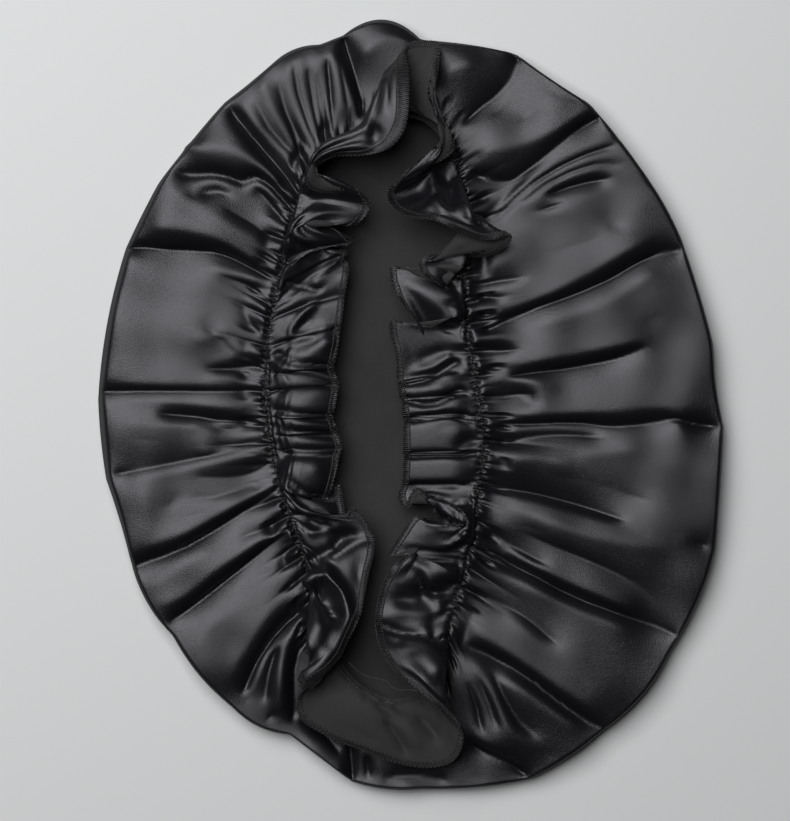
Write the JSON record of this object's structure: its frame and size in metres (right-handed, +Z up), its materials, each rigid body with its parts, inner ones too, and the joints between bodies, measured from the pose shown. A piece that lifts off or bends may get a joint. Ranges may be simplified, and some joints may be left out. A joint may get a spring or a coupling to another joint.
{
  "type": "sleep bonnet",
  "caption": "Satin sleep bonnet lying flat with its opening up: a gathered hollow crown, an elastic band and a ruffled, overlocked frill.",
  "frame": {"origin": "on the surface the bonnet lies on, under the middle of its outline", "axes": "+Z up, out of the opening; +Y along the bonnet's length, towards its top as it lies; +X to the right"},
  "size_m": [0.2524, 0.3106, 0.0322],
  "materials": {
    "satin": "black satin, glossy outside and matte inside",
    "elastic": "black braided elastic",
    "thread": "black overlock thread"
  },
  "bodies": {
    "root": {"crown": "satin", "elastic_band": "elastic", "ruffle": "satin", "hem_stitching": "thread"}
  },
  "joints": []
}
